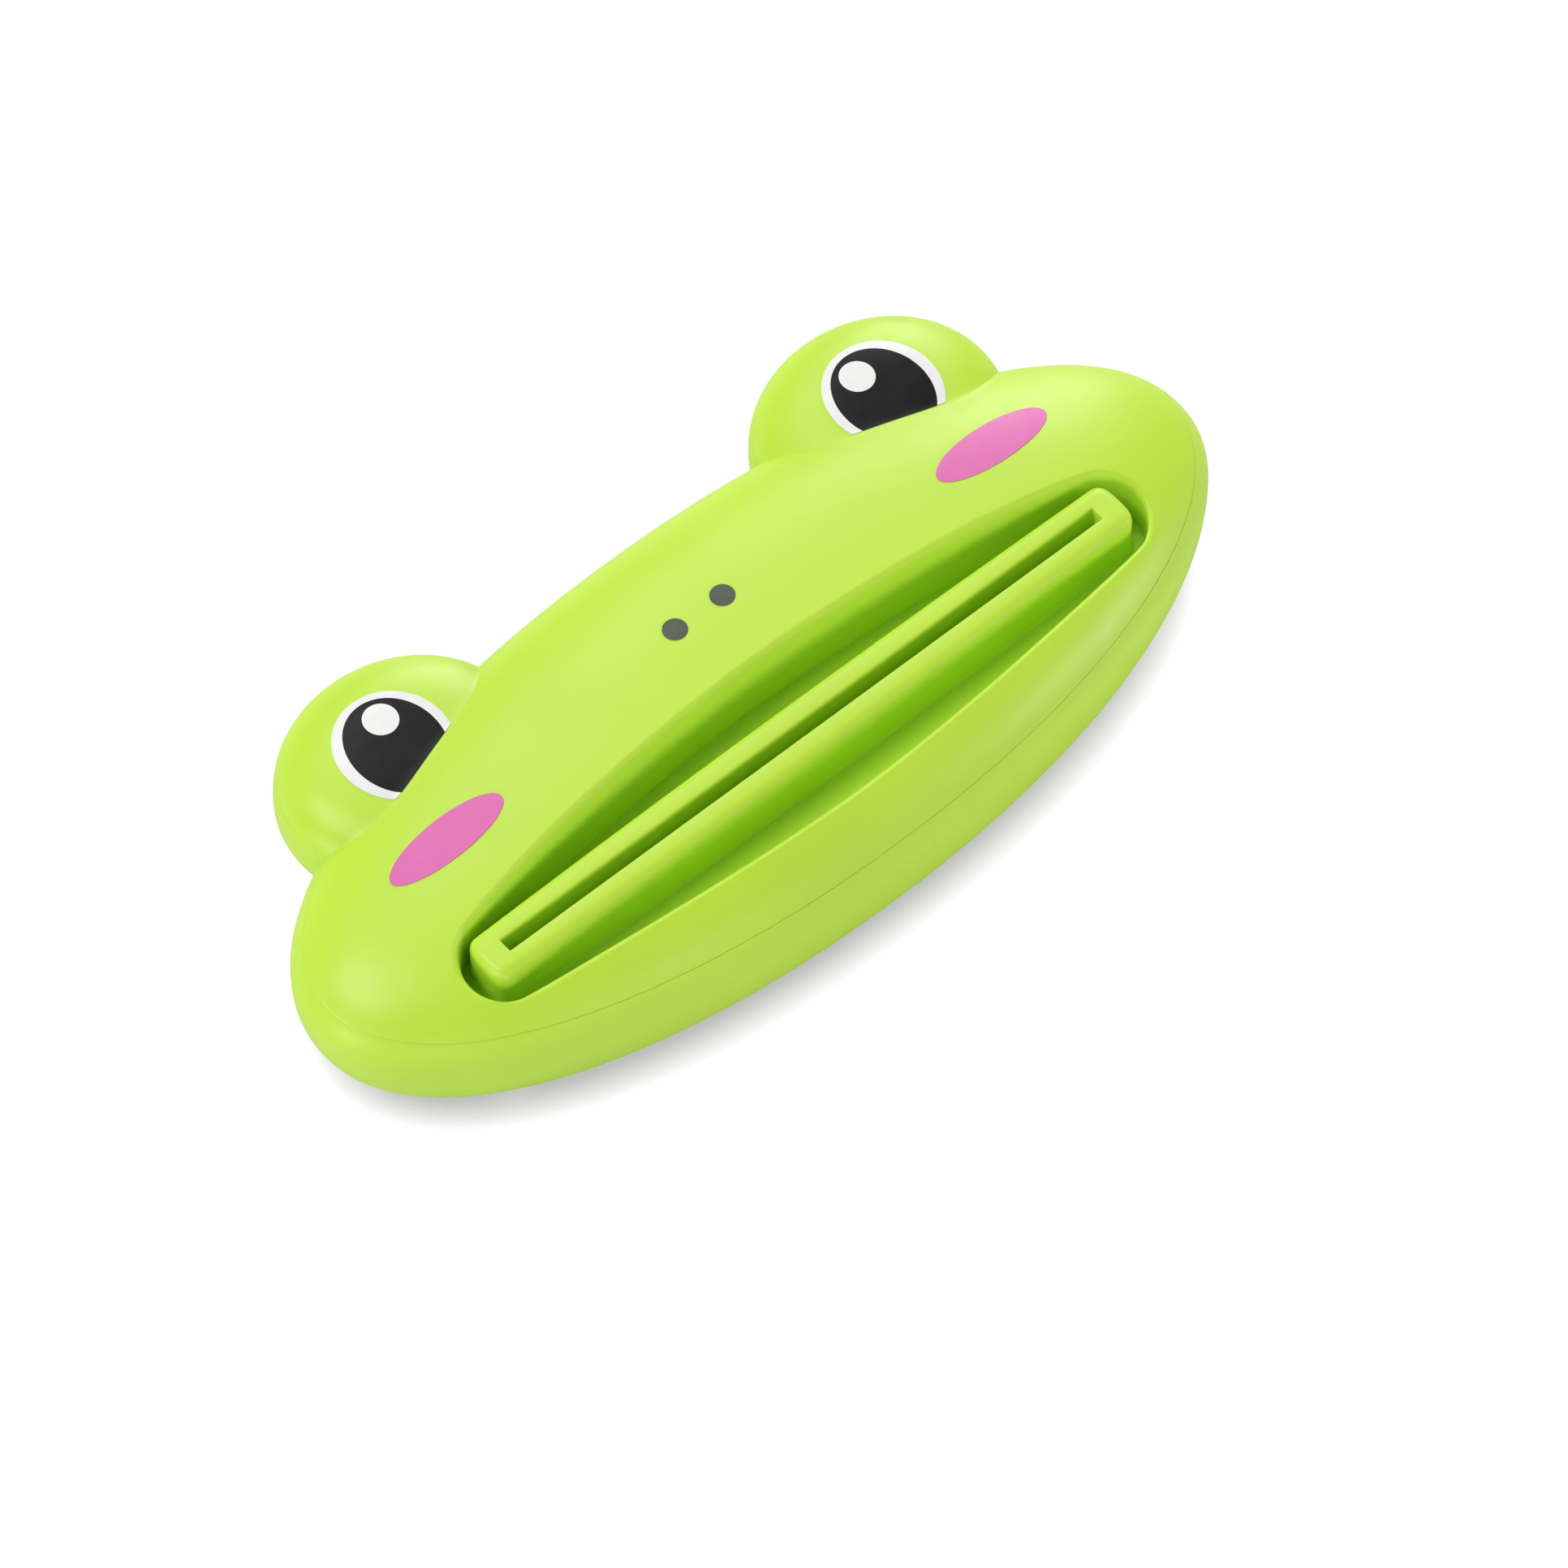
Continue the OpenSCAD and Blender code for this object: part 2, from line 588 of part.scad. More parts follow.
module eye_white(side) {
    outer_from = crease_angle(eye, eye_size, 60, -90);
    outer_to = crease_angle(eye, eye_size, 120, 270);
    inner_from = crease_angle(pupil, pupil_hole, 60, -90);
    inner_to = crease_angle(pupil, pupil_hole, 120, 270);
    count = 28;
    color(white_ink) seat() mirror([side < 0 ? 1 : 0, 0, 0]) ink_strip(
        [for (k = [0 : count]) ellipse_point(eye, eye_size, mix(outer_from, outer_to, k / count))],
        [for (k = [0 : count]) ellipse_point(pupil, pupil_hole, mix(inner_from, inner_to, k / count))]);
}

module pupil(side) {
    color(black_ink) seat() mirror([side < 0 ? 1 : 0, 0, 0]) ink_ring(
        [for (p = ellipse(pupil, pupil_size)) above_crease(p)], ellipse(glint, glint_size), 3);
}

module eye_glint(side) {
    color(white_ink) seat() mirror([side < 0 ? 1 : 0, 0, 0])
        ink_disc(glint, ellipse(glint, glint_size), 1);
}

module cheek(side) {
    centre = [cheek_x, cheek_y];
    color(pink_ink) seat() mirror([side < 0 ? 1 : 0, 0, 0])
        ink_disc(centre, ellipse(centre, [cheek_width, cheek_height]), 3);
}

module nostril(side) {
    centre = [nostril_x, nostril_y];
    color(grey_ink) seat() mirror([side < 0 ? 1 : 0, 0, 0])
        ink_disc(centre, ellipse(centre, [nostril_d, nostril_d], 20), 1);
}

front_shell();
rear_shell();
slot_sleeve();
eye_white(-1);  // eye_white_left
eye_white(1);  // eye_white_right
pupil(-1);  // pupil_left
pupil(1);  // pupil_right
eye_glint(-1);  // eye_glint_left
eye_glint(1);  // eye_glint_right
cheek(-1);  // cheek_left
cheek(1);  // cheek_right
nostril(-1);  // nostril_left
nostril(1);  // nostril_right
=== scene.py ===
import math

import bpy
import numpy as np
from mathutils import Matrix, Vector

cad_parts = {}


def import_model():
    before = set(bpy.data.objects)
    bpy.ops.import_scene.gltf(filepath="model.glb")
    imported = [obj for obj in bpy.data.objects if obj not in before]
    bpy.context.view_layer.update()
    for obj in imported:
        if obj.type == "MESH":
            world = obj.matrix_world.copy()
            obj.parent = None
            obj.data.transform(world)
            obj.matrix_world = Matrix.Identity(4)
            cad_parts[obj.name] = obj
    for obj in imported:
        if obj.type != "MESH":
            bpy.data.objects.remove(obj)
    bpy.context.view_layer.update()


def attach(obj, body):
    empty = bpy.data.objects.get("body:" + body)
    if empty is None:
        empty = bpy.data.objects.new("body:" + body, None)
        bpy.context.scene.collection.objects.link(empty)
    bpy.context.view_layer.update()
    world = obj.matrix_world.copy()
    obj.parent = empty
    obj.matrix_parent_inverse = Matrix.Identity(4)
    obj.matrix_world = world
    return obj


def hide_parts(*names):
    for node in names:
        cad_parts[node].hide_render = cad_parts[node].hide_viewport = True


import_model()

# Sizes
BODY = np.array([95.0, 38.0]) / 2
FACE_RISE, BACK_DEPTH, SEAM, WALL = 7.8, 10.8, 2.5, 1.8
LOBE = np.array([26.1, 14.1])
LOBE_HALF = np.array([23.4, 20.8]) / 2
LOBE_RISE, LOBE_DEPTH = 5.9, 6.7
MOUTH_Y = -6.4
SLOT_LENGTH, SLOT_WIDTH = 65.0, 1.35
LIP_LENGTH, LIP_END, LIP_MID, LIP_CORNER = 70.0, 4.8, 5.5, 1.5
LIP_BOW, LIP_SQUARE = 2.0, 3.0
LIP_RISE, LIP_RECESS, LIP_ROUND, LIP_FOOT = 6.1, 1.8, 0.9, 0.3
SLOT_CORNER, SLOT_EDGE, SLOT_BACK_EDGE = 0.12, 0.12, 0.3
GUTTER_DEPTH, GUTTER_Y, GUTTER_LENGTH = 5.0, MOUTH_Y - 0.4, 73.0
GUTTER_END, GUTTER_MID, GUTTER_BOW, GUTTER_SQUARE = 5.8, 13.7, 1.8, 2.0
WALL_WIDTH, EDGE_HEIGHT, EDGE_FROM = (1.0, 0.9, 0.9), 1.4, 0.25
SKIRT, FLANGE, COLLAR, SLEEVE_GAP, CHAMFER = 1.4, 2.0, 1.4, 0.15, 0.5
LAP_INSET, LAP_LENGTH, LAP_GAP, BEVEL, PLAY = 1.1, 1.2, 0.1, 0.13, 0.2
INK, INK_LIFT = 0.04, 0.015
EYE, EYE_HALF = LOBE + [0.8, 0.5], np.array([10.1, 11.0]) / 2
WHITE_SIDE, WHITE_TOP, PUPIL_SHIFT = 0.95, 0.65, 0.1
GLINT, GLINT_HALF = EYE + [-0.7, 2.6], np.array([3.1, 3.2]) / 2
CHEEK, CHEEK_HALF = np.array([29.9, 4.2]), np.array([11.9, 4.0]) / 2
NOSTRIL, NOSTRIL_R = np.array([2.6, 7.1]), 1.1
PUPIL = EYE + [-PUPIL_SHIFT, -WHITE_TOP / 4]
PUPIL_HALF = EYE_HALF - [WHITE_SIDE, 0.75 * WHITE_TOP]
OVAL, FACE_FULL, FACE_ROUND = 2.1, 4.0, 1.9
BACK_FULL, BACK_ROUND, BACK_REACH, FLAT_ROUND = 5.0, 2.5, BACK_DEPTH / 0.83, 0.25
LOBE_FULL, LOBE_ROUND, LOBE_BACK_FULL, LOBE_BACK_ROUND = 3.5, 2.75, 2.3, 2.0
CREASE, CREASE_MARGIN = 46.0, 0.22
FLOOR_Z = LIP_RISE - GUTTER_DEPTH
FLANGE_Z = FLOOR_Z - FLANGE
BOTTOM_Z = LIP_RECESS - BACK_DEPTH
ORIGIN = np.array([0.0, (BODY[1] - LOBE[1] - LOBE_HALF[1]) / 2, BACK_DEPTH])
# The skins keep a hair inside the box of the solids, whose facets cut the ovals' ends
INSIDE = 0.999


# Heights
def mix(a, b, t):
    return a + (b - a) * t


def dome(r, h, full, power):
    return h * np.power(np.maximum(0.0, 1 - np.power(np.minimum(r, 1.0), full)), 1 / power)


def level(z, h, full, power):
    """Share of a dome's outline that is left at the height z."""
    return (1 - (z / h) ** power) ** (1 / full)


def body_share(p, s):
    a = BODY - s
    return ((np.abs(p[..., 0]) / a[0]) ** OVAL + (np.abs(p[..., 1]) / a[1]) ** OVAL) ** (1 / OVAL)


def lobe_share(p, s):
    a = LOBE_HALF - s
    return np.hypot((np.abs(p[..., 0]) - LOBE[0]) / a[0], (p[..., 1] - LOBE[1]) / a[1])


def body_front(p, s=0.0):
    return dome(body_share(p, s), FACE_RISE - s, FACE_FULL, FACE_ROUND)


def lobe_front(p, s=0.0):
    return dome(lobe_share(p, s), LOBE_RISE - s, LOBE_FULL, LOBE_ROUND)


def body_back(p, s=0.0):
    return dome(body_share(p, s), BACK_REACH - s, BACK_FULL, BACK_ROUND)


def lobe_back(p, s=0.0):
    return dome(lobe_share(p, s), LOBE_DEPTH - s, LOBE_BACK_FULL, LOBE_BACK_ROUND)


def merge(a, b):
    """The greater of two heights, with a narrow rounding where they are equal."""
    m = np.maximum(np.maximum(a, b), 1e-9)
    return m * ((a / m) ** CREASE + (b / m) ** CREASE) ** (1 / CREASE)


def face_z(p, s=0.0):
    return merge(body_front(p, s), lobe_front(p, s))


def back_z(p, s=0.0):
    return -soft_min(merge(body_back(p, s), lobe_back(p, s)), BACK_DEPTH - s, FLAT_ROUND)


def soft_min(a, b, soft):
    return np.minimum(a, b) - np.maximum(0, soft - np.abs(a - b)) ** 2 / (4 * soft)


def halve(test, low, high, rounds):
    """Closes in on the place between low and high where the test stops being true."""
    for _ in range(rounds):
        t = (low + high) / 2
        more = test(t)
        low, high = np.where(more, t, low), np.where(more, high, t)
    return t


# Loft lines
def spread(n, bend=0.0):
    """Shares from 0 up to, not including, 1; bend crowds them towards the ends."""
    t = np.arange(n) / n
    return t - bend * np.sin(2 * np.pi * t) / (2 * np.pi)


def fan(part, shares, first, last):
    """Loft lines of one part of the outline: the part, the share along it and the angle at the mouth."""
    return np.stack([np.full(len(shares), part), shares, mix(first, last, shares)], 1)


# Number of lines on the chin, the mouth's end, a lobe and half the crown, from the chin's middle
CHIN, END, LOBES, CROWN = 96, 44, 92, 44
ON_CHIN, ON_END, ON_LOBES, ON_CROWN = 0.0, 1.0, 2.0, 3.0
END_ANGLE, LOBE_FROM, LOBE_TO = -23, 43, 61
FAN = np.concatenate([
    fan(ON_CHIN, spread(CHIN), -90, 0),
    fan(ON_END, spread(END), 0, LOBE_FROM),
    fan(ON_LOBES, spread(LOBES, 0.4), LOBE_FROM, LOBE_TO),
    fan(ON_CROWN, np.arange(CROWN + 1) / CROWN, LOBE_TO, 90),
])


def both_sides(half):
    """The right half's values or points, then the left half's, mirrored."""
    other = half[-2:0:-1].copy()
    if half.ndim == 2:
        other[:, 0] *= -1
    return np.concatenate([half, other])


# Angle at the mouth of every loft line, all the way round
ANGLE = np.radians(np.concatenate([FAN[:, 2], 180 - FAN[-2:0:-1, 2]]))
CREASED = both_sides((FAN[:, 0] == ON_LOBES).astype(float)) > 0.5
# Share of a line without a crease where its middle stop lies: at a notch as on the lobes' lines, then further in
STOP_AT_NOTCH, STOP_AWAY, FADE = 0.975, 0.7, 1.6
AWAY = np.where(FAN[:, 0] == ON_END, 1 - FAN[:, 1], np.where(FAN[:, 0] == ON_CROWN, FAN[:, 1], 1.0))
AWAY = (AWAY * FADE).clip(0, 1)
PLAIN_STOP = both_sides(mix(STOP_AT_NOTCH, STOP_AWAY, AWAY * AWAY * (3 - 2 * AWAY)))


def body_point(a, angle):
    c, n = np.cos(angle), np.sin(angle)
    r = (np.abs(c) ** OVAL + np.abs(n) ** OVAL) ** (-1 / OVAL)
    return np.stack([a[0] * c * r, a[1] * n * r], -1)


def lobe_point(a, angle):
    return np.stack([LOBE[0] + a[0] * np.cos(angle), LOBE[1] + a[1] * np.sin(angle)], -1)


def notch(body, lobe, inner, outer):
    """Angle on the lobe where its outline leaves the body's."""
    def within(angle):
        p = lobe_point(lobe, math.radians(angle))
        return abs(p[0] / body[0]) ** OVAL + abs(p[1] / body[1]) ** OVAL < 1

    return float(halve(within, inner, outer, 40))


def outline(z, s):
    """Outline of body and lobes at the height z, inset by s, one point on each loft line."""
    body = BODY * level(abs(z), FACE_RISE, FACE_FULL, FACE_ROUND) - s
    lobe = LOBE_HALF * level(abs(z), LOBE_RISE, LOBE_FULL, LOBE_ROUND) - s
    a, b = notch(body, lobe, -60, 80), notch(body, lobe, 240, 100)
    p, q = lobe_point(lobe, math.radians(a)), lobe_point(lobe, math.radians(b))
    low = math.degrees(math.atan2(p[1] / body[1], p[0] / body[0]))
    high = math.degrees(math.atan2(q[1] / body[1], q[0] / body[0]))
    ends = {ON_CHIN: (-90, END_ANGLE), ON_END: (END_ANGLE, low), ON_LOBES: (a, b), ON_CROWN: (high, 90)}
    rows = []
    for part, (first, last) in ends.items():
        angle = np.radians(mix(first, last, FAN[FAN[:, 0] == part, 1]))
        rows.append(lobe_point(lobe, angle) if part == ON_LOBES else body_point(body, angle))
    return both_sides(np.concatenate(rows))


def lens(a, mid, end, bow, r, square, y):
    """Lens with the half-length a whose ends are rounded over the length r."""
    c = np.cos(ANGLE)
    t = np.maximum(0, 1 - a * (1 - np.abs(c)) / r)
    h = mix(mid, end, np.abs(c) ** bow) * (1 - t ** square) ** (1 / square)
    return np.stack([a * c, y + np.sign(np.sin(ANGLE)) * h], -1)


def lip_ring(g):
    return lens(LIP_LENGTH / 2 + g, LIP_MID / 2 + g, LIP_END / 2 + g, LIP_BOW, LIP_CORNER + g, LIP_SQUARE, MOUTH_Y)


def gutter_ring(g):
    end = GUTTER_END / 2 + g
    return lens(GUTTER_LENGTH / 2 + g, GUTTER_MID / 2 + g, end, GUTTER_BOW, end, GUTTER_SQUARE, GUTTER_Y)


def wall_width():
    end, crown, chin = WALL_WIDTH
    return mix(end, np.where(np.sin(ANGLE) > 0, crown, chin), np.sin(ANGLE) ** 2)


def at_z(ring, z):
    return np.column_stack([ring, np.broadcast_to(z, len(ring))])


def far(a, b):
    return np.linalg.norm(b - a, axis=1)


def rounded(ring, angles, grow, z, rise):
    """Rings over a quarter turn, from grow 0 and the full rise at 0 degrees to the full grow and z at 90."""
    turns = [math.radians(a) for a in angles]
    return [at_z(ring(grow * (1 - math.cos(r))), z + rise * (1 - math.sin(r))) for r in turns]


# Stops on the straight lines from the ring a to the ring b, as shares of each line
def crease_stop(a, b, start, s, front):
    """Where the body and a lobe are equally high."""
    body, lobe = (body_front, lobe_front) if front else (body_back, lobe_back)

    def on_body(t):
        p = mix(a, b, t[:, None])
        return body(p, s) > lobe(p, s)

    t = halve(on_body, start, np.ones(len(a)), 24)
    share = np.where(CREASED, np.clip((t - start) / (1 - start), 0.05, STOP_AT_NOTCH), PLAIN_STOP)
    return start + share * (1 - start)


def wall_stop(a, b):
    """Where the gutter's wall meets the face."""
    return np.minimum(0.7, wall_width() / far(a, b))


def flat_stop(a, b, s):
    """Where the flat back ends."""
    t = halve(lambda t: body_back(mix(a, b, t[:, None]), s) > BACK_DEPTH - s, np.zeros(len(a)), np.ones(len(a)), 24)
    return np.maximum(0.06, t)


def along(a, b, stops, t):
    """Ring at the step t: 0 is a, 1 and 2 are the two stops, and 3 is b."""
    if t < 1:
        share = t * stops[0]
    elif t < 2:
        share = mix(stops[0], stops[1], t - 1)
    else:
        share = mix(stops[1], 1, t - 2)
    return mix(a, b, share[:, None])


def wall_ring(a, b, walls, angle, s=0.0):
    """Ring on the rounded edge of the gutter's wall; the angle is 0 where the edge begins."""
    r = math.radians(angle)
    p = mix(a, b, (walls * mix(1, EDGE_FROM, math.cos(r)))[:, None])
    share = 1 - EDGE_HEIGHT / (FACE_RISE - FLOOR_Z) * (1 - math.sin(r))
    return at_z(p, mix(FLOOR_Z, face_z(p, s), share))


def front_ring(a, b, stops, t, s=0.0):
    p = along(a, b, stops, t)
    return at_z(p, face_z(p, s))


def back_ring(a, b, stops, t, s=0.0):
    p = along(a, b, stops, t)
    return at_z(p, back_z(p, s))


# Meshes
def to_mesh(name, points, faces, node, material, sharp=38):
    """Makes a piece from millimetre points in the face's axes, in place of a solid's node."""
    co = np.asarray(points, float).copy()
    co[:, :2] *= INSIDE
    co = (co + ORIGIN) / 1000
    mesh = bpy.data.meshes.new(name)
    mesh.from_pydata(co.tolist(), [], faces)
    mesh.validate()
    mesh.shade_smooth()
    mesh.set_sharp_from_angle(angle=math.radians(sharp))
    mesh.materials.append(material)
    obj = bpy.data.objects.new(name, mesh)
    bpy.context.scene.collection.objects.link(obj)
    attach(obj, "root")
    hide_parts(node)
    return obj


def loft_faces(n, m, close=True):
    """Faces between m rings of n points, and from the last ring to the first."""
    i = np.arange(n)
    k = (i + 1) % n
    faces = []
    for j in range(m if close else m - 1):
        a, b = j * n, (j + 1) % m * n
        faces += np.stack([a + i, a + k, b + k, b + i], 1).tolist()
    return faces


def loft(name, rings, node, material, sharp=38):
    n, m = len(rings[0]), len(rings)
    return to_mesh(name, np.concatenate(rings), loft_faces(n, m), node, material, sharp)


# Materials
def new_material(name, color, roughness, specular=0.5):
    mat = bpy.data.materials.new(name)
    mat.use_nodes = True
    tree = mat.node_tree
    tree.nodes.clear()
    out = tree.nodes.new("ShaderNodeOutputMaterial")
    bsdf = tree.nodes.new("ShaderNodeBsdfPrincipled")
    tree.links.new(bsdf.outputs[0], out.inputs[0])
    bsdf.inputs["Base Color"].default_value = (*color, 1)
    bsdf.inputs["Roughness"].default_value = roughness
    bsdf.inputs["Specular IOR Level"].default_value = specular
    return mat, tree, bsdf


def place(tree):
    """Object coordinates in millimetres."""
    coord = tree.nodes.new("ShaderNodeTexCoord")
    scale = tree.nodes.new("ShaderNodeVectorMath")
    scale.operation = "SCALE"
    scale.inputs["Scale"].default_value = 1000
    tree.links.new(coord.outputs["Object"], scale.inputs[0])
    return scale.outputs[0]


def noise(tree, vector, scale, detail=3.0, rough=0.5):
    node = tree.nodes.new("ShaderNodeTexNoise")
    node.inputs["Scale"].default_value = scale
    node.inputs["Detail"].default_value = detail
    node.inputs["Roughness"].default_value = rough
    tree.links.new(vector, node.inputs["Vector"])
    return node.outputs["Fac"]


def spread_to(tree, value, low, high, start=0.3, end=0.7):
    """Maps the values from start to end onto low to high."""
    node = tree.nodes.new("ShaderNodeMapRange")
    node.inputs["From Min"].default_value = start
    node.inputs["From Max"].default_value = end
    node.inputs["To Min"].default_value = low
    node.inputs["To Max"].default_value = high
    tree.links.new(value, node.inputs["Value"])
    return node.outputs["Result"]


def two_tone(tree, value, dark, light):
    node = tree.nodes.new("ShaderNodeMix")
    node.data_type = "RGBA"
    node.inputs["A"].default_value = (*dark, 1)
    node.inputs["B"].default_value = (*light, 1)
    tree.links.new(value, node.inputs["Factor"])
    return node.outputs["Result"]


def bump(tree, bsdf, height, strength, distance):
    node = tree.nodes.new("ShaderNodeBump")
    node.inputs["Strength"].default_value = strength
    node.inputs["Distance"].default_value = distance
    tree.links.new(height, node.inputs["Height"])
    tree.links.new(node.outputs[0], bsdf.inputs["Normal"])


def srgb(r, g, b):
    return tuple((c / 255 / 12.92) if c <= 10 else ((c / 255 + 0.055) / 1.055) ** 2.4 for c in (r, g, b))


LIME = srgb(203, 242, 70)


def lime_plastic(name, seed):
    """Moulded glossy plastic: faint flow clouding in the colour, a fine orange peel and soft gloss."""
    mat, tree, bsdf = new_material(name, LIME, 0.39)
    mm = place(tree)
    cloud = noise(tree, mm, 0.045 + 0.004 * seed, 2.0)
    darker = tuple(c * 0.965 for c in LIME)
    lighter = tuple(min(1.0, c * 1.02) for c in LIME)
    tree.links.new(two_tone(tree, spread_to(tree, cloud, 0, 1), darker, lighter), bsdf.inputs["Base Color"])
    tree.links.new(spread_to(tree, noise(tree, mm, 0.35, 3.0), 0.36, 0.43), bsdf.inputs["Roughness"])
    bump(tree, bsdf, noise(tree, mm, 1.6, 2.0, 0.4), 0.06, 0.00006)
    return mat


def ink_material(name, color, roughness, change, specular=0.5):
    """Printed ink: a smooth film with a slight unevenness of the pad print."""
    mat, tree, bsdf = new_material(name, color, roughness, specular)
    mm = place(tree)
    uneven = spread_to(tree, noise(tree, mm, 0.9, 3.0), 0, 1)
    darker = tuple(c * (1 - change) for c in color)
    lighter = tuple(min(1, c * (1 + change)) for c in color)
    tree.links.new(two_tone(tree, uneven, darker, lighter), bsdf.inputs["Base Color"])
    tree.links.new(spread_to(tree, noise(tree, mm, 0.5, 2.0), roughness - 0.03, roughness + 0.04),
                   bsdf.inputs["Roughness"])
    bump(tree, bsdf, noise(tree, mm, 3.0, 2.0), 0.05, 0.00004)
    return mat


FACE_PLASTIC = lime_plastic("lime_plastic_face", 0)
REAR_PLASTIC = lime_plastic("lime_plastic_rear", 1)
SLEEVE_PLASTIC = lime_plastic("lime_plastic_sleeve", 2)
WHITE_INK = ink_material("white_print", (0.92, 0.92, 0.9), 0.3, 0.015)
BLACK_INK = ink_material("black_print", (0.007, 0.007, 0.008), 0.32, 0.2, 0.16)
PINK_INK = ink_material("pink_print", srgb(232, 108, 184), 0.42, 0.02)
GREY_INK = ink_material("grey_print", srgb(70, 82, 60), 0.45, 0.1)


# Front shell
def sines(n, start, end):
    """Steps that crowd towards the end, without the start and with the end."""
    return [start + (end - start) * math.sin(math.pi / 2 * k / n) for k in range(1, n + 1)]


def seam_edge(angles, side):
    """Rings round the bevel at the seam, of the front shell with the side 1 and of the rear shell with -1."""
    rings = []
    for a in angles:
        r = math.radians(a)
        z = SEAM + side * BEVEL * (1 - math.cos(r))
        rings.append(at_z(outline(z, BEVEL * (1 - math.sin(r))), z))
    return rings


def front_shell():
    foot = gutter_ring(0)
    edge = outline(SEAM + BEVEL, 0)
    inner_edge = outline(SEAM, WALL)
    inner_foot = mix(foot, inner_edge, np.minimum(SKIRT / far(foot, inner_edge), 0.5)[:, None])
    walls = wall_stop(foot, edge)
    stops = (walls, crease_stop(foot, edge, walls, 0, True))
    inner_walls = wall_stop(inner_foot, inner_edge)
    inner_stops = (inner_walls, crease_stop(inner_foot, inner_edge, inner_walls, WALL, True))
    # Steps outwards over the face, close together beside the gutter and the crease
    steps = [1.008, 1.02, 1.035] + [1 + k / 18 for k in range(1, 17)]
    steps += [1.93, 1.965, 1.985, 2.0, 2.015, 2.035, 2.07] + sines(22, 2.1, 3.0)[:-1]
    # The inside, from the foot on the sleeve's flange to the lap at the seam
    rings = [at_z(inner_foot, FLOOR_Z)]
    rings += [wall_ring(inner_foot, inner_edge, inner_walls, a, WALL) for a in (0, 30, 60, 90)]
    rings += [front_ring(inner_foot, inner_edge, inner_stops, t, WALL) for t in (1.3, 1.65, 2.0, 2.3, 2.6, 2.87)]
    lap = outline(SEAM, LAP_INSET)
    rings += [at_z(inner_edge, SEAM - LAP_LENGTH), at_z(lap, SEAM - LAP_LENGTH), at_z(lap, SEAM)]
    # The outside, from the seam over the face and down the gutter's wall
    rings += seam_edge((0, 30, 60), 1)
    rings.append(at_z(edge, SEAM + BEVEL))
    rings += [front_ring(foot, edge, stops, t) for t in reversed(steps)]
    rings += [wall_ring(foot, edge, walls, a) for a in range(90, -1, -9)]
    low = wall_ring(foot, edge, walls, 0)
    rings += [mix(low, at_z(foot, FLOOR_Z), k / 4) for k in (1, 2, 3, 4)]
    return loft("front_skin", rings, "front_shell", FACE_PLASTIC, 50)


def rear_shell():
    bore, rim = lip_ring(SLEEVE_GAP), lip_ring(SLEEVE_GAP + CHAMFER)
    widest, inner_widest = outline(0, 0), outline(0, WALL)
    inner_collar = lip_ring(SLEEVE_GAP + COLLAR)
    flat = flat_stop(rim, widest, 0)
    stops = (flat, crease_stop(rim, widest, flat, 0, False))
    inner_flat = flat_stop(inner_collar, inner_widest, WALL)
    inner_stops = (inner_flat, crease_stop(inner_collar, inner_widest, inner_flat, WALL, False))
    rings = [at_z(bore, FLANGE_Z)]
    rings += rounded(lambda g: lip_ring(SLEEVE_GAP + g), (0, 30, 60, 90), CHAMFER, back_z(rim), CHAMFER)
    steps = [0.25, 0.5, 0.75, 0.9, 0.97, 1.03, 1.1] + [1 + k / 12 for k in range(2, 12)]
    steps += [1.96, 1.985, 2.0, 2.015, 2.04, 2.07] + sines(24, 2.1, 3.0)[:-1]
    rings += [back_ring(rim, widest, stops, t) for t in steps]
    rings.append(at_z(widest, 0))
    for k in range(1, 6):
        z = (SEAM - BEVEL) * k / 6
        rings.append(at_z(outline(z, 0), z))
    rings += seam_edge((90, 60, 30, 0), -1)
    step = outline(SEAM, LAP_INSET - LAP_GAP)
    rings += [at_z(step, SEAM), at_z(step, SEAM - LAP_LENGTH - PLAY), at_z(inner_widest, 0)]
    rings += [back_ring(inner_collar, inner_widest, inner_stops, t, WALL) for t in (2.87, 2.6, 2.3, 2, 1.5, 1)]
    rings += [at_z(inner_collar, back_z(inner_collar, WALL)), at_z(inner_collar, FLANGE_Z)]
    return loft("rear_skin", rings, "rear_shell", REAR_PLASTIC, 50)


# Sleeve
def slot_ring(g):
    """The slot's outline, g wider all round, on the same loft lines as the lip."""
    corner = SLOT_CORNER
    half = np.array([SLOT_LENGTH / 2 + g, SLOT_WIDTH / 2 + g])
    lip_x = np.abs(lip_ring(0)[:, 0])
    sign_y = np.sign(np.sin(ANGLE))
    turn = np.clip((lip_x - half[0] + corner) / (LIP_LENGTH / 2 - half[0] + corner), 0, 1)
    x = np.minimum(lip_x, half[0] - corner)
    y = np.full(len(x), half[1])
    a = np.clip(turn / 0.5, 0, 1) * math.pi / 2
    near = lip_x > half[0] - corner
    x = np.where(near, half[0] - corner + corner * np.sin(a), x)
    y = np.where(near, half[1] - corner + corner * np.cos(a), y)
    down = np.clip((turn - 0.5) / 0.5, 0, 1)
    y = np.where(turn > 0.5, mix(half[1] - corner, 0, down), y)
    return np.stack([np.sign(np.cos(ANGLE)) * x, MOUTH_Y + sign_y * y], -1)


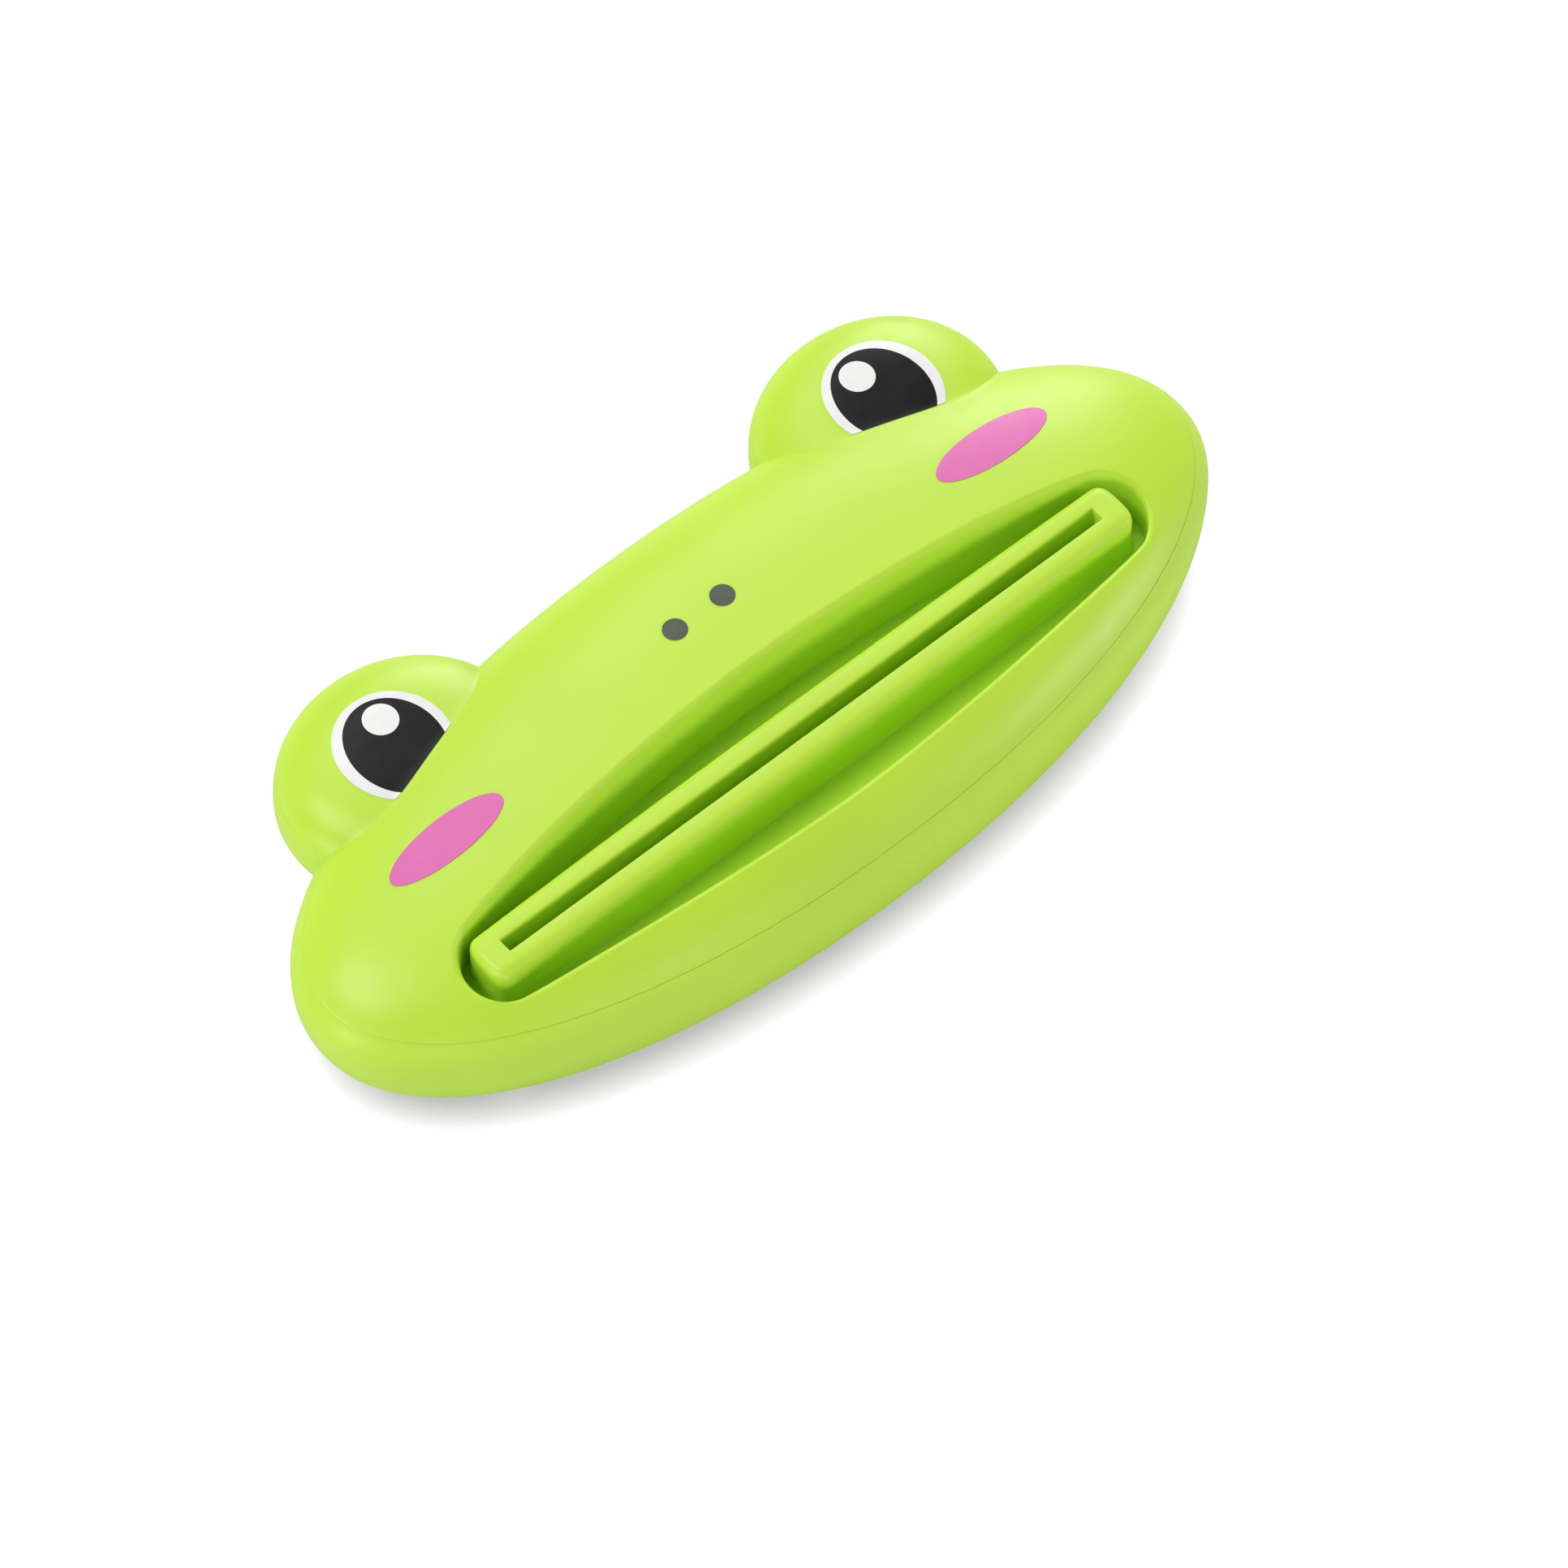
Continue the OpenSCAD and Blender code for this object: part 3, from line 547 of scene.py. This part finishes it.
def mouth_sleeve():
    flange = gutter_ring(SKIRT)
    # Down the outside of the lip below its flange, round its rear edge and up through the slot
    rings = [at_z(lip_ring(0), BOTTOM_Z + LIP_ROUND)]
    rings += rounded(lip_ring, (30, 60, 90), -LIP_ROUND, BOTTOM_Z, LIP_ROUND)
    rings += rounded(slot_ring, (90, 45, 0), SLOT_BACK_EDGE, BOTTOM_Z, SLOT_BACK_EDGE)
    rings += [at_z(slot_ring(0), z) for z in (-6, -3, 0, 2, 4, LIP_RISE - 0.5)]
    # Over the flat front edge of the lip and down its outside
    rings += rounded(slot_ring, (0, 30, 60, 90), SLOT_EDGE, LIP_RISE, -SLOT_EDGE)
    rings.append(at_z(mix(slot_ring(SLOT_EDGE), lip_ring(-LIP_ROUND), 0.5), LIP_RISE))
    rings += rounded(lip_ring, (90, 75, 60, 45, 30, 15, 0), -LIP_ROUND, LIP_RISE, -LIP_ROUND)
    rings += [at_z(lip_ring(0), z) for z in (4.6, 3.2, 2.0, FLOOR_Z + LIP_FOOT)]
    # Over the flange, which is the gutter's floor, and back under it
    rings += rounded(lip_ring, (30, 60, 90), LIP_FOOT, FLOOR_Z, LIP_FOOT)
    rings.append(at_z(mix(lip_ring(LIP_FOOT), flange, 0.5), FLOOR_Z))
    rings += [at_z(flange, FLOOR_Z), at_z(flange, FLANGE_Z), at_z(lip_ring(0), FLANGE_Z)]
    return loft("mouth_sleeve", rings[::-1], "slot_sleeve", SLEEVE_PLASTIC, 35)


# Printed face
def on_face(p, up):
    """Points on the face, raised off the shell's facets by a hair and by up."""
    return at_z(p, face_z(p * INSIDE) + INK_LIFT + up)


def crease_y(x):
    """Height of the crease under a lobe."""
    def on_body(y):
        p = np.stack([x, y], 1)
        return body_front(p) > lobe_front(p)

    return halve(on_body, np.full(len(x), LOBE[1] - 0.76 * LOBE_HALF[1]),
                 np.full(len(x), LOBE[1] + 0.4 * LOBE_HALF[1]), 30)


def ellipse(centre, half, n):
    a = np.arange(n) / n * 2 * np.pi
    return centre + np.stack([half[0] * np.cos(a), half[1] * np.sin(a)], 1)


def film_ring(name, inner, outer, steps, node, material):
    """Closed film between two outlines: its top, its outer edge, its underside and its inner edge."""
    rows = [mix(inner, outer, k / steps) for k in range(steps + 1)]
    rings = [on_face(p, 0) for p in rows] + [on_face(p, INK) for p in reversed(rows)]
    return loft(name, rings, node, material, 60)


def film_disc(name, centre, outer, steps, node, material):
    """Closed film inside an outline."""
    n = len(outer)
    rows = [mix(np.tile(centre, (n, 1)), outer, k / steps) for k in range(1, steps + 1)]
    rings = [on_face(p, 0) for p in rows] + [on_face(p, INK) for p in reversed(rows)]
    points = np.concatenate(rings + [on_face(np.array([centre]), 0), on_face(np.array([centre]), INK)])
    faces = loft_faces(n, len(rings), close=False)
    last = (len(rings) - 1) * n
    for i in range(n):
        k = (i + 1) % n
        faces.append([2 * steps * n, k, i])
        faces.append([2 * steps * n + 1, last + i, last + k])
    return to_mesh(name, points, faces, node, material, 60)


def film_strip(name, outer, inner, steps, node, material):
    """Closed film along two open lines, from one end to the other."""
    rows = [mix(outer, inner, k / steps) for k in range(steps + 1)]
    sections = [on_face(p, 0) for p in rows] + [on_face(p, INK) for p in reversed(rows)]
    m, n = len(sections), len(outer)
    points = np.stack(sections, 1).reshape(-1, 3)
    faces = []
    for i in range(n - 1):
        for j in range(m):
            k = (j + 1) % m
            faces.append([i * m + j, i * m + k, (i + 1) * m + k, (i + 1) * m + j])
    faces.append(list(range(m - 1, -1, -1)))
    faces.append([(n - 1) * m + j for j in range(m)])
    return to_mesh(name, points, faces, node, material, 60)


def open_ellipse(centre, half, n):
    """The part of an eye's ellipse that lies above the crease."""
    def above(a):
        p = centre + half * [math.cos(a), math.sin(a)]
        return p[1] > crease_y(p[:1])[0] + CREASE_MARGIN

    first, last = (float(halve(above, *np.radians(span), 30)) for span in ((60, -90), (120, 270)))
    a = mix(first, last, np.arange(n) / (n - 1))
    return centre + np.stack([half[0] * np.cos(a), half[1] * np.sin(a)], 1)


def pupil_outline(n):
    """The pupil's ellipse above the crease, then back along the crease."""
    arc = open_ellipse(PUPIL, PUPIL_HALF, n)
    x = mix(arc[-1, 0], arc[0, 0], np.arange(1, n // 3) / (n // 3))
    return np.concatenate([arc, np.stack([x, crease_y(x) + CREASE_MARGIN], 1)])


EYE_POINTS, PUPIL_GAP = 120, 0.004


def face_prints():
    arc = pupil_outline(EYE_POINTS)
    direction = np.arctan2(arc[:, 1] - GLINT[1], arc[:, 0] - GLINT[0])
    hole = GLINT + np.stack([GLINT_HALF[0] * np.cos(direction), GLINT_HALF[1] * np.sin(direction)], 1)
    rim = open_ellipse(PUPIL, PUPIL_HALF + PUPIL_GAP, EYE_POINTS)
    white = open_ellipse(EYE, EYE_HALF, EYE_POINTS)
    cheek, nostril = ellipse(CHEEK, CHEEK_HALF, 96), ellipse(NOSTRIL, np.array([NOSTRIL_R, NOSTRIL_R]), 48)
    for side, word in ((-1, "left"), (1, "right")):
        def turned(p):
            """Mirrored on the left, with the points' order turned so that the faces still look outwards."""
            return (p * [side, 1])[::side]

        film_ring("pupil_print_" + word, turned(hole), turned(arc), 20, "pupil_" + word, BLACK_INK)
        film_disc("glint_print_" + word, GLINT * [side, 1], turned(hole), 6, "eye_glint_" + word,
                  WHITE_INK)
        film_strip("white_print_" + word, turned(white), turned(rim), 6, "eye_white_" + word, WHITE_INK)
        film_disc("cheek_print_" + word, CHEEK * [side, 1], turned(cheek), 12, "cheek_" + word, PINK_INK)
        film_disc("nostril_print_" + word, NOSTRIL * [side, 1], turned(nostril), 5, "nostril_" + word,
                  GREY_INK)


front_shell()
rear_shell()
mouth_sleeve()
face_prints()

# Camera at the photograph's angle: distance and aim in millimetres, scale in picture points per millimetre
ELEVATION, TURN, DISTANCE, SCALE = math.radians(58.417), math.radians(40.624), 1191.04, 14.726
AIM_RIGHT, AIM_UP, PICTURE_SIDE, SENSOR = 2.504, -5.692, 1932, 36
right = Vector((math.cos(TURN), -math.sin(TURN), 0))
up = Vector((math.sin(TURN) * math.sin(ELEVATION), math.cos(TURN) * math.sin(ELEVATION), math.cos(ELEVATION)))
back = Vector((-math.sin(TURN) * math.cos(ELEVATION), -math.cos(TURN) * math.cos(ELEVATION), math.sin(ELEVATION)))
aim = Vector(ORIGIN) + right * AIM_RIGHT + up * AIM_UP
camera_data = bpy.data.cameras.new("camera")
camera_data.sensor_width = SENSOR
camera_data.lens = SENSOR * SCALE * DISTANCE / PICTURE_SIDE
camera_data.clip_start, camera_data.clip_end = 0.05, 60
camera = bpy.data.objects.new("camera", camera_data)
spot = (aim + back * DISTANCE) / 1000
camera.matrix_world = Matrix((
    (right.x, up.x, back.x, spot.x),
    (right.y, up.y, back.y, spot.y),
    (right.z, up.z, back.z, spot.z),
    (0, 0, 0, 1)))
bpy.context.scene.collection.objects.link(camera)
bpy.context.scene.camera = camera


# Floor, world and lamps, in metres
FLOOR_HALF, FLOOR_DROP, FLOOR_COLOR = 4.0, 0.00002, 0.8
# The floor's glow to the camera is dimmed by ambient occlusion within a few millimetres of the object: a painted
# contact shadow, beside the faint real shadow of the diffuse part
FLOOR_SHADE, FLOOR_GLOW, PAINTED_SHADOW_REACH, PAINTED_SHADOW_RANGE = 0.1, (0.45, 0.99), 0.0037, (0.3, 0.9)
AMBIENT, LAMP_DISTANCE, LAMP_SIZE = 0.15, 1.2, 0.5


def floor():
    """To the camera a white floor with the object's shadow, partly real from a faint diffuse part and partly
    painted as a glow dimmed by ambient occlusion near the object, and to the object a plain pale one.
    """
    mesh = bpy.data.meshes.new("floor")
    r = FLOOR_HALF
    mesh.from_pydata([(-r, -r, 0), (r, -r, 0), (r, r, 0), (-r, r, 0)], [], [(0, 1, 2, 3)])
    obj = bpy.data.objects.new("floor", mesh)
    obj.location.z = -FLOOR_DROP
    bpy.context.scene.collection.objects.link(obj)
    mat = bpy.data.materials.new("pale_floor")
    mat.use_nodes = True
    tree = mat.node_tree
    tree.nodes.clear()
    out = tree.nodes.new("ShaderNodeOutputMaterial")
    add = tree.nodes.new("ShaderNodeAddShader")
    diffuse = tree.nodes.new("ShaderNodeBsdfDiffuse")
    glow = tree.nodes.new("ShaderNodeEmission")
    path = tree.nodes.new("ShaderNodeLightPath")
    bounce = tree.nodes.new("ShaderNodeBsdfDiffuse")
    pick = tree.nodes.new("ShaderNodeMixShader")
    diffuse.inputs["Color"].default_value = (FLOOR_SHADE, FLOOR_SHADE, FLOOR_SHADE, 1)
    bounce.inputs["Color"].default_value = (FLOOR_COLOR, FLOOR_COLOR, FLOOR_COLOR, 1)
    # Painted contact shadow: ambient occlusion near the object dims the floor's glow
    near = tree.nodes.new("ShaderNodeAmbientOcclusion")
    near.samples = 16
    near.inputs["Distance"].default_value = PAINTED_SHADOW_REACH
    tree.links.new(spread_to(tree, near.outputs["AO"], *FLOOR_GLOW, *PAINTED_SHADOW_RANGE), glow.inputs["Strength"])
    tree.links.new(path.outputs["Is Camera Ray"], pick.inputs[0])
    tree.links.new(bounce.outputs[0], pick.inputs[1])
    tree.links.new(diffuse.outputs[0], add.inputs[0])
    tree.links.new(glow.outputs[0], add.inputs[1])
    tree.links.new(add.outputs[0], pick.inputs[2])
    tree.links.new(pick.outputs[0], out.inputs[0])
    mesh.materials.append(mat)


def world():
    """White to the camera, and a faint even light to the object."""
    w = bpy.data.worlds.new("studio")
    bpy.context.scene.world = w
    w.use_nodes = True
    tree = w.node_tree
    tree.nodes.clear()
    out = tree.nodes.new("ShaderNodeOutputWorld")
    soft, white = tree.nodes.new("ShaderNodeBackground"), tree.nodes.new("ShaderNodeBackground")
    pick = tree.nodes.new("ShaderNodeMixShader")
    path = tree.nodes.new("ShaderNodeLightPath")
    soft.inputs["Color"].default_value = (1, 1, 1, 1)
    soft.inputs["Strength"].default_value = AMBIENT
    white.inputs["Color"].default_value = (1, 1, 1, 1)
    white.inputs["Strength"].default_value = 1.0
    tree.links.new(path.outputs["Is Camera Ray"], pick.inputs[0])
    tree.links.new(soft.outputs[0], pick.inputs[1])
    tree.links.new(white.outputs[0], pick.inputs[2])
    tree.links.new(pick.outputs[0], out.inputs[0])


def softbox(azimuth, elevation, power):
    """A round lamp that faces the object, seen from it at azimuth from +X and elevation, in degrees."""
    a, e = math.radians(azimuth), math.radians(elevation)
    direction = Vector((math.cos(a) * math.cos(e), math.sin(a) * math.cos(e), math.sin(e)))
    data = bpy.data.lights.new("softbox", "AREA")
    data.shape = "DISK"
    data.size = LAMP_SIZE
    data.energy = power
    lamp = bpy.data.objects.new("softbox", data)
    lamp.location = direction * LAMP_DISTANCE
    lamp.rotation_euler = direction.to_track_quat("Z", "Y").to_euler()
    bpy.context.scene.collection.objects.link(lamp)


floor()
world()
# Low softboxes all round, and higher ones behind the eyes
for azimuth, elevation, power in ((150, 55, 5.6), (75, 55, 2.6), (45, 30, 4.3), (45, 12, 2.2), (315, 12, 4.1),
                                  (270, 12, 1.6), (225, 12, 1.3), (180, 12, 3.2)):
    softbox(azimuth, elevation, power)

scene = bpy.context.scene
scene.view_settings.view_transform = "Standard"
